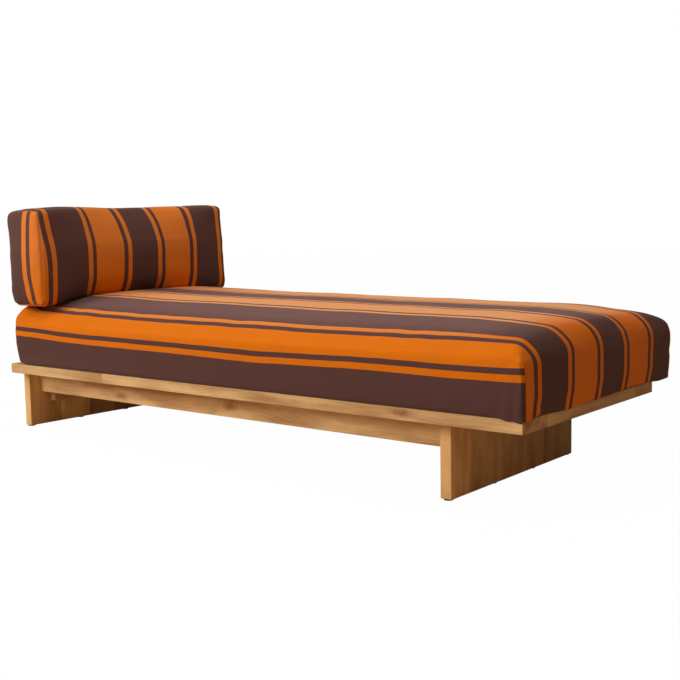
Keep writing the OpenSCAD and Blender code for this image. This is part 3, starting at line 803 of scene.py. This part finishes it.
mattress = {
    "low": (-983, -374, 227),
    "high": (1004, 483, 447),
    # along each axis: how many cuts, how much finer they are at both ends, and how far in
    "cuts": ((124, 0.8, 6.0), (66, 0.75, 4.0), (20, 0.6, 2.0)),
    # radii of the rounded edges: the plain one, then what each share in mattressRadii adds
    "radii": {"head": (24, 6, 22), "front": (12, -6), "tuck": (12, 30, -6), "foot": (6, 47, 4, -29, -22),
              "rear": (12, -4), "shoulder": (24, 40, -20, -12)},
    # how the top runs from front to rear, at the middle of the length
    "profile": ((-388, 362), (-368, 369), (-343, 382.5), (-323, 393), (-306, 403), (-287, 410), (-258, 418.5),
                (-223, 427), (-193, 433.5), (-162, 439), (-125, 442.5), (-63, 445), (17, 446.5), (90, 447.5),
                (250, 448), (330, 447.5), (370, 445.5), (400, 441), (430, 432), (455, 420), (475, 406), (490, 393)),
    # the same at the head end, where the near corner is fuller
    "headProfile": ((-388, 380), (-374, 384), (-364, 393), (-350, 400), (-336, 404), (-323, 407), (-306, 413),
                    (-287, 421), (-258, 432), (-223, 441), (-193, 448), (-162, 453), (-125, 457), (-63, 459),
                    (17, 461), (250, 461), (330, 460), (370, 457), (400, 453), (430, 446), (455, 436), (475, 421),
                    (490, 406)),
    # how much the top lies above the middle's along the length
    "rise": ((-983, 10), (-900, 14), (-835, 14.5), (-640, 10.5), (-540, 8), (-390, 4.5), (-250, 2.5), (0, 0),
             (250, -4.5), (500, -8), (740, -10.5), (820, -12), (1000, -12)),
    # share of the crown that is left towards the foot, above the edge's own height
    "footEdge": 388,
    "crownLeft": ((760, 1), (850, 0.94), (901, 0.85), (940, 0.755), (970, 0.66), (1004, 0.5)),
    "farFall": 0.14,
    # the near head corner stands up as high as the bolster's underside
    "cornerLift": ((-388, 0), (-374, 2), (-364, 9), (-350, 16), (-336, 20), (-323, 21), (-306, 18), (-287, 12),
                   (-250, 4), (-200, 0)),
    # how far the head and foot faces stand in, by height and by place from front to rear
    "headBelly": ((227, 16), (240, 14), (254, 11), (271, 7), (288, 5), (305, 3), (323, 3), (340, 3), (357, 5), (375, 8),
                  (395, 9), (410, 10)),
    "footPlan": ((-375, 0), (-350, -3), (-327, -4.5), (-286, -4), (-160, -0.5), (0, 0), (200, 1), (320, 0),
                 (355, 1), (440, 2), (486, 2)),
    "frontPlan": ((-983, 7), (-300, 3), (300, 1), (1004, -1)),
    "rearPlan": ((-983, 6), (-900, 0), (860, 0), (930, 3), (1004, 5)),
    # how much the stripes of the front border lie above their usual heights
    "frontWander": ((-983, 15), (-868, 13), (-699, 6.5), (-540, 2.5), (-296, 2), (-32, -1.5), (203, -3.5), (416, -0.5),
                    (609, 2), (785, 0), (945, 2), (1004, 3)),
    # how far the front's bottom edge hangs over the rail beside the foot corner
    "droop": ((935, 0), (951, 5), (966, 6.5), (985, 8), (1004, 9)),
    # the same along the foot, where the cover hangs over the rail's end
    "footDroop": ((-374, 9), (-335, 4), (-300, -3), (-280, -3), (-240, 3), (-190, 6), (-117, 7), (0, 4.5), (150, 1),
                  (216, -2), (300, 1), (364, 4), (400, 7), (486, 6)),
    "hem": (0.14, 2.0),  # share of the height that hangs over the rails, and how far it stands out at the foot
    "footHook": 17,  # how far the stripes swing towards the front where they turn under
    "rearSag": 6,  # how far the part behind the rear rail sags
    "waver": ((1.6, (0.006, 0.004, 0.01), 3.0), (0.8, (0.02, 0.01, 0.02), 8.0)),  # how unevenly the stripes run
    "frontSeam": -362,  # where the two borders end on the foot face
    "rearSeam": 462,
    # the pinch in the near foot corner, with small folds that run out of it and one long soft crease
    "dimple": {"place": (1003, -373, 383), "depth": 6.5, "width": 8, "folds": 3.4, "reach": 42,
               "crease": (1.8, 0.9, 6, 9)},  # depth, slope, height, width
    # soft upright folds in the front border beside that corner: distance, lean, depth, width
    "cornerFolds": ((14, 0.12, 4.2, 6), (38, 0.3, 3.6, 8), (64, 0.45, 2.4, 9)),
    # where the top is painted paler as painted sheen, since it is seen at a grazing angle: from front to rear, towards
    # the foot, and the part of it left at the head
    "paintedHighlightSpan": {"most": 0.9, "front": (-334, -230), "rear": (380, 475), "foot": (850, 995), "head": (-800, -200),
             "atHead": 0.74, "skew": 0.06},
    # the seams' painted shade: width and darkness
    "seams": {"upright": (3.0, 0.8), "top": (2.0, 0.08)},  # width and darkness
}
# measured stripe edges, from front to rear or from bottom to top: the first one's number counted from the start of
# a brown band, and their places
topEdges = (-2, (-323, -306, -287, -161.5, -143, -126.5, -1, 16, 34.5, 160, 178, 194, 318, 335, 353.5, 479))
frontEdges = (1, (310.5, 327, 343))
rearEdges = (3, (244, 369.5, 385.8, 404.5))


def clothPlace(edges, value):
    # where on the cloth a point lies
    first, spots = edges
    marks = [stripePeriod * (number // 6) + stripeMarks[number % 6] for number in range(first, first + len(spots))]
    return np.interp(value, spots, marks) + np.minimum(value - spots[0], 0) + np.maximum(value - spots[-1], 0)


def mattressTop(values, x, y):
    rise = read(values["rise"], x)
    up = 0.6 + 0.4 * np.clip((y + 340) / 160, 0, 1)
    down = np.clip((y + 323) / 160, 0, 1)
    top = read(values["profile"], y) + np.where(rise > 0, rise * up, rise * down)
    top = top + (read(values["headProfile"], y) - top) * ease(-x, 720, 900)
    top = top + read(values["cornerLift"], y) * ease(-x, 880, 945)
    edge = values["footEdge"]
    fall = values["farFall"] * ease(y, 60, 380) * ease(x, 790, 900) * (1 - 0.3 * ease(x, 950, 1004))
    left = read(values["crownLeft"], x) - fall
    return np.where(top > edge, edge + (top - edge) * left, top)


def mattressRadii(values, x, y, z):
    # crisp upright corners, a wide turn over the foot, a fuller tuck below the head
    upper, lower = ease(z, 375, 447), ease(-z, -290, -240)
    nearFront, nearRear, nearFoot = ease(-y, 280, 374), ease(y, 400, 483), ease(x, 900, 960)
    shares = {"head": (upper, lower), "front": (nearFoot * (1 - upper),), "tuck": (ease(-x, 880, 983), nearFoot),
              "foot": (upper, lower, upper * nearFront, upper * nearRear), "rear": (nearFoot,),
              "shoulder": (nearFoot, nearFoot * nearFront, nearFoot * nearRear)}
    radii = [values[key][0] + sum(more * share for more, share in zip(values[key][1:], shares[key])) for key in shares]
    return np.stack(radii[:3], 1), np.stack(radii[3:], 1)


def buildMattress(values):
    bm, panel, flat, low, high = gridBox(values)
    x, y, z = flat.T
    rounded = roundOff(flat, low, high, *mattressRadii(values["radii"], x, y, z))
    # the height of the top, shared down the sides
    share = (rounded[:, 2] - low[2]) / (high[2] - low[2])
    spots = rounded.copy()
    spots[:, 2] = low[2] + share * (mattressTop(values, rounded[:, 0], rounded[:, 1]) - low[2])
    front, rear = ease(-y, 250, 370), ease(y, 340, 480)
    head, foot = ease(-x, 850, 980), ease(x, 880, 1000)
    aside = ease(share, 0.02, 0.2)
    spots[:, 0] += head * read(values["headBelly"], spots[:, 2]) + foot * read(values["footPlan"], y) * aside
    spots[:, 1] += aside * (front * read(values["frontPlan"], x) + rear * read(values["rearPlan"], x))
    # the cover hangs over the rail beside the corner and along the foot, and sags behind the rear rail
    hemShare, hemReach = values["hem"]
    hem = 1 - ease(share, 0, hemShare)
    overFront = (spots[:, 1] < -370.5) & (x > 900)
    overFoot = (spots[:, 0] > 1000.4) & (y > -366)
    drop = np.where(overFoot, read(values["footDroop"], y), overFront * read(values["droop"], x))
    spots[:, 2] -= hem * drop
    spots[:, 0] += hemReach * overFoot * hem
    spots[:, 2] -= values["rearSag"] * hem * ease(y, 376, 400) * (1 - overFoot)
    # the border's two ends are sewn on the foot face, so the front and rear keep stripes of their own there
    hook = values["footHook"] * ease(-spots[:, 2], -280, -222)
    acrossTop, acrossFoot = clothPlace(topEdges, y), clothPlace(topEdges, y + hook)
    acrossFront = clothPlace(frontEdges, spots[:, 2] - read(values["frontWander"], x))
    acrossRear = clothPlace(rearEdges, spots[:, 2])
    wander = waver(flat, values["waver"])
    bm.faces.index_update()
    middleOf = [face.calc_center_median().y for face in bm.faces]

    def clothSpot(face, i):
        side, at = face[panel], middleOf[face.index]
        if side == 3 or (side == 1 and at > values["rearSeam"]):
            return acrossRear[i] + wander[i], x[i]
        if side == 2 or (side == 1 and at < values["frontSeam"]):
            return acrossFront[i] + wander[i], x[i]
        if side == 4:
            return y[i] + wander[i], x[i]
        across = acrossFoot[i] if side == 1 else acrossTop[i]
        along = x[i] + ((high[2] - z[i]) * (1 if side else -1) if side in (0, 1) else 0)
        return across + wander[i], along

    for face in bm.faces:
        face.material_index = 1 if face[panel] == 4 else 0
    layCloth(bm, spots, clothSpot)
    return bm, flat


def pinch(piece, values):
    dimple = values["dimple"]
    away = (skinOf(piece, "co") - toRoom(np.array(dimple["place"], float))) / mm
    gap = np.linalg.norm(away, axis=1)
    x, y, z = away.T
    onFront = y < np.abs(x) * 0.5
    angle = np.where(onFront, np.arctan2(z, x), np.arctan2(z, -y) + 0.4)
    folds = softNoise(np.stack([np.cos(angle), np.sin(angle), gap * 0.004], 1), (3.2, 3.2, 1.0), 41.0)
    move = dimple["folds"] * folds * np.exp(-gap / dimple["reach"]) * (1 - np.exp(-gap / 9))
    depth, slope, height, width = dimple["crease"]
    crease = hump(z - slope * x - height, width) * ease(-x, 4, 20) * ease(x, -110, -50)
    move -= depth * crease * onFront
    for start, lean, depth, width in values["cornerFolds"]:
        line = x + start - lean * (z + 50)
        move -= depth * hump(line, width) * ease(-z, 50, 90) * (y < 3) * (x > -90)
    move -= dimple["depth"] * hump(gap, dimple["width"])
    swellSkin(piece, move)


# painted sheen on the top, which is seen at a grazing angle
def paintedHighlightOf(flat, values):
    x, y, z = flat.T
    onTop = (z > 446) * ease(y, *values["front"]) * ease(-y, -values["rear"][1], -values["rear"][0])
    # the near side turns away a little further from the foot
    onTop = onTop * (1 - ease(x + values["skew"] * (350 - y), *values["foot"]))
    left = values["atHead"]
    return values["most"] * onTop * (left + (1 - left) * ease(x, *values["head"]))


bm, flatSkin = buildMattress(mattress)
mattressPiece = addPiece("mattressCover", bm, "mattress", [stripedCloth, liningCloth],
                         ["mattress_cover", "mattress_core", "mattress_bottom_panel"])
# how far each point is from the nearest upright seam, and from the seams along the top
gaps = np.minimum(flatSkin - mattress["low"], np.array(mattress["high"]) - flatSkin)
upright = np.hypot(gaps[:, 0], gaps[:, 1])
sideTop = np.hypot(gaps[:, 1], mattress["high"][2] - flatSkin[:, 2])
puffUp(mattressPiece, (np.minimum(upright, sideTop) < 2) | (flatSkin[:, 2] < mattress["low"][2] + 8), swell)
ruffle(mattressPiece, flatSkin, np.where(upright < sideTop, upright, sideTop + 2.5), upright, 1.6, 11.0)
pinch(mattressPiece, mattress)
# painted shade along the seams
seamShade = sum(dark * hump(gap, width) for gap, (width, dark) in
                ((upright, mattress["seams"]["upright"]), (sideTop, mattress["seams"]["top"])))
markSkin(mattressPiece, paintedHighlightOf(flatSkin, mattress["paintedHighlightSpan"]), seamShade)
clearZip(mattressPiece, "mattress_zip_tape", 1, 1)
smoothSkin(mattressPiece)
print("mattress made")

bolster = {
    "low": (-90, -374, 461),
    "high": (90, 466, 755),
    "centre": -884,
    "cuts": ((26, 0.6, 2.0), (62, 0.78, 3.0), (30, 0.62, 2.5)),
    "corner": 13,
    "bottomCorner": 24,
    # how far the skin stands from the centre, from bottom to top: back and front, at the ends and in the middle
    "backEnd": ((0, -74), (0.08, -80), (0.167, -86), (0.6, -86), (0.685, -88), (0.77, -91), (0.855, -96), (0.94, -95),
                (1, -88)),
    "frontEnd": ((0, 92), (0.04, 97), (0.107, 99), (0.577, 99), (0.785, 92), (0.93, 89), (1, 84)),
    "backMiddle": ((0, -64), (0.058, -76), (0.116, -84), (0.16, -87), (0.242, -91), (0.365, -95), (0.485, -97),
                   (0.61, -95), (0.669, -90), (0.73, -83), (0.792, -74), (0.857, -64), (0.918, -51), (0.98, -37),
                   (1, -31)),
    "frontMiddle": ((0, 72), (0.058, 84), (0.116, 90), (0.242, 97), (0.365, 99), (0.485, 101), (0.61, 98), (0.669, 91),
                    (0.73, 83), (0.792, 74), (0.857, 64), (0.918, 51), (0.98, 37), (1, 31)),
    "bottom": ((-374, 429), (-334, 430), (-306, 436), (-265, 445), (-200, 455), (-96, 460), (16, 461.5), (134, 461.5),
               (283, 458), (440, 450), (466, 447)),
    "crest": ((-384, 753), (-353, 760.4), (-321, 763.2), (-290, 765.2), (-258, 767.2), (-225, 768.3), (-158, 769),
              (-90, 769), (-20, 766.8), (53, 767), (128, 770), (206, 774), (286, 776.4), (327, 777.6), (368, 780.5),
              (411, 782.3), (466, 782)),
    "crown": (8, 14),
    "waver": ((1.2, (0.01, 0.006, 0.006), 23.0),),
    "endBulge": 13,
    "nearLean": 20,  # how far the stripes beside the near end lean towards it at their top
    "wrinkles": 4.0,  # at the foot of the near end panel
    # the bolster's upper part is painted paler, a painted highlight where light from above falls
    "paintedHighlightSpan": (0.2, 455, 660),  # share, and the heights that it grows between
    # width and darkness of the painted shade in the end seams
    "seams": (3.0, 0.8),
    "endSkew": 10,  # how far the end panel's stripes lean to the front towards its bottom
    "farFlare": ((0, 6), (0.12, 8), (0.3, 4), (0.5, 0), (0.8, 1), (1, 0)),
}
faceEdges = (-2, (-353, -334, -315, -187, -169, -152, -34, -14, 5, 124, 142.5, 161, 280, 299, 318, 426, 445, 458))
endEdges = (1, (-875, -851, -831))


def buildBolster(values):
    bm, panel, flat, low, high = gridBox(values)
    corner = np.full_like(flat, values["corner"])
    atEnd = np.maximum(ease(-flat[:, 1], 300, 374), ease(flat[:, 1], 390, 466))
    soft = (values["bottomCorner"] - values["corner"]) * ease(-flat[:, 2], -500, -461) * atEnd
    corner[:, 0] += soft * (flat[:, 0] < 0)
    corner[:, 2] += soft
    x, y, z = roundOff(flat, low, high, corner, corner).T
    # each face runs from its form at the ends to its form in the middle
    inner = ease(np.minimum(y - low[1], high[1] - y), 0, 310)
    level = (z - low[2]) / (high[2] - low[2])
    sideways = x / high[0]
    back, front = (read(values[kind + "End"], level) * (1 - inner) + read(values[kind + "Middle"], level) * inner
                   for kind in ("back", "front"))
    reach = np.where(sideways > 0, front, -back)
    crown = values["crown"][0] * (1 - inner) + values["crown"][1] * inner
    bottom = read(values["bottom"], y)
    top = read(values["crest"], y) - crown
    crest = crown * (1 - sideways ** 2) * np.clip(level * 3 - 2, 0, 1)
    # the end panels swell a little
    onEnd = (np.abs(flat[:, 1] - low[1]) < 0.01) | (np.abs(flat[:, 1] - high[1]) < 0.01)
    dome = np.clip(1 - sideways ** 2, 0, 1) * np.clip(1 - (2 * level - 1) ** 2, 0, 1)
    bulge = values["endBulge"] * dome ** 0.6 * np.sign(y) * onEnd
    flare = ease(y, 300, 466) * read(values["farFlare"], level)
    spots = np.stack([values["centre"] + sideways * reach, y + bulge + flare, bottom + level * (top - bottom) + crest],
                     1)
    lean = values["nearLean"] * ease(level, 0.4, 1) * ease(-y, 230, 350)
    wander = waver(flat, values["waver"])
    acrossFace = clothPlace(faceEdges, flat[:, 1] + lean) + wander
    skew = values["endSkew"] * ease(-spots[:, 2], -545, -450)
    acrossEnd = clothPlace(endEdges, spots[:, 0] - skew) + wander

    def clothSpot(face, i):
        side = face[panel]
        if side in (2, 3):
            return acrossEnd[i], flat[i, 2]
        if side in (4, 5):
            return acrossFace[i], flat[i, 0] + (400 if side == 4 else 900)
        return acrossFace[i], flat[i, 2] * (1 if side else -1)

    layCloth(bm, spots, clothSpot)
    return bm, flat


bm, flatSkin = buildBolster(bolster)
bolsterPiece = addPiece("bolsterCover", bm, "bolster", [stripedCloth],
                        ["bolster_cover", "bolster_core", "bolster_front_end_panel", "bolster_rear_end_panel"])
gaps = np.minimum(flatSkin - bolster["low"], np.array(bolster["high"]) - flatSkin)
endSeam = np.hypot(gaps[:, 1], np.minimum(gaps[:, 0], gaps[:, 2]))
puffUp(bolsterPiece, (endSeam < 2.0) | (flatSkin[:, 2] < 463), swell)
ruffle(bolsterPiece, flatSkin, endSeam, endSeam, 1.8, 31.0)
low = ease(-flatSkin[:, 2], -560, -475) * (flatSkin[:, 1] < -373)
swellSkin(bolsterPiece, softNoise(flatSkin, (0.075, 0.0, 0.018), 57.0) * low * bolster["wrinkles"])
clearZip(bolsterPiece, "bolster_zip_tape", 0, -1)
# painted highlight on the upper part, and painted shade in the end seams
share, start, end = bolster["paintedHighlightSpan"]
width, dark = bolster["seams"]
markSkin(bolsterPiece, share * ease(flatSkin[:, 2], start, end), dark * hump(endSeam, width))
smoothSkin(bolsterPiece)
print("bolster made")

zips = {
    "toothStart": 2,
    "toothPitch": 2.0,
    "toothShare": 0.7,  # of the pitch, along the zip
    "toothStagger": 0.8,
    "toothRounding": 0.35,
    "stitchPitch": 4.2,
    "stitchSize": (2.8, 0.6, 0.7),  # along the zip, outwards, upwards
    "stitchRounding": 0.18,
    "stitchEdge": 3.0,
    "stitchStart": 4,
    "stitchSpare": 6,
    "tapeRounding": 0.4,
    "stopLength": 4.0,
    "stopRise": 1.0,
    "stopRounding": 0.5,
}


def repeatAlong(piece, axis, pitch, count):
    modifier = piece.modifiers.new("repeat", "ARRAY")
    modifier.use_relative_offset = False
    modifier.use_constant_offset = True
    step = Vector((0, 0, 0))
    step[axis] = pitch * mm
    modifier.constant_offset_displace = step
    modifier.count = count


def addZip(cover, axis, outwards, values):
    across = 1 - axis
    tapeName, coilName = cover + "_zip_tape", cover + "_zip_coil"
    low, high = (Vector(corner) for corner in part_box(tapeName))
    bm = bmesh.new()
    addBar(bm, high - low, (high + low) / 2, values["tapeRounding"])
    addPiece(cover + "ZipTape", bm, cover, [tapeCloth], [tapeName])
    # two rows of stitches hold the tape to the cover
    along, out, up = values["stitchSize"]
    size = Vector((out, out, up)) * mm
    size[axis] = along * mm
    bm = bmesh.new()
    for height in (low.z + values["stitchEdge"] * mm, high.z - values["stitchEdge"] * mm):
        at = Vector((0, 0, height))
        at[across] = high[across] if outwards > 0 else low[across]
        at[axis] = low[axis] + values["stitchStart"] * mm
        addBar(bm, size, at, values["stitchRounding"])
    stitches = addPiece(cover + "ZipStitches", bm, cover, [threadCloth])
    room = (high[axis] - low[axis]) / mm - values["stitchSpare"]
    repeatAlong(stitches, axis, values["stitchPitch"], int(room / values["stitchPitch"]))
    # a stop at each end, and teeth between them in pairs that stand a little higher and lower
    low, high = (Vector(corner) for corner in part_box(coilName))
    rise, stagger = values["stopRise"] * mm, values["toothStagger"] * mm
    size = high - low - Vector((0, 0, 2 * rise))
    size[across] -= rise
    centre = (high + low) / 2
    centre[across] -= outwards * rise / 2
    stop = size + Vector((0, 0, 2 * rise))
    stop[axis] = values["stopLength"] * mm
    bm = bmesh.new()
    for end in (-1, 1):
        at = centre.copy()
        at[axis] += end * (high[axis] - low[axis] - stop[axis]) / 2
        addBar(bm, stop, at, values["stopRounding"])
    addPiece(cover + "ZipStops", bm, cover, [zipMetal])
    tooth = size - Vector((0, 0, stagger))
    tooth[axis] = values["toothPitch"] * values["toothShare"] * mm
    bm = bmesh.new()
    for index in (0, 1):
        at = centre + Vector((0, 0, stagger * (index - 0.5)))
        at[axis] = low[axis] + (values["stopLength"] + values["toothStart"] + index * values["toothPitch"]) * mm
        addBar(bm, tooth, at, values["toothRounding"])
    teeth = addPiece(cover + "ZipTeeth", bm, cover, [zipCoil], [coilName])
    room = (high[axis] - low[axis]) / mm - 2 * values["stopLength"] - values["toothStart"]
    repeatAlong(teeth, axis, 2 * values["toothPitch"], int(room / (2 * values["toothPitch"])))


addZip("mattress", 0, 1, zips)
addZip("bolster", 1, -1, zips)
print("zips made")
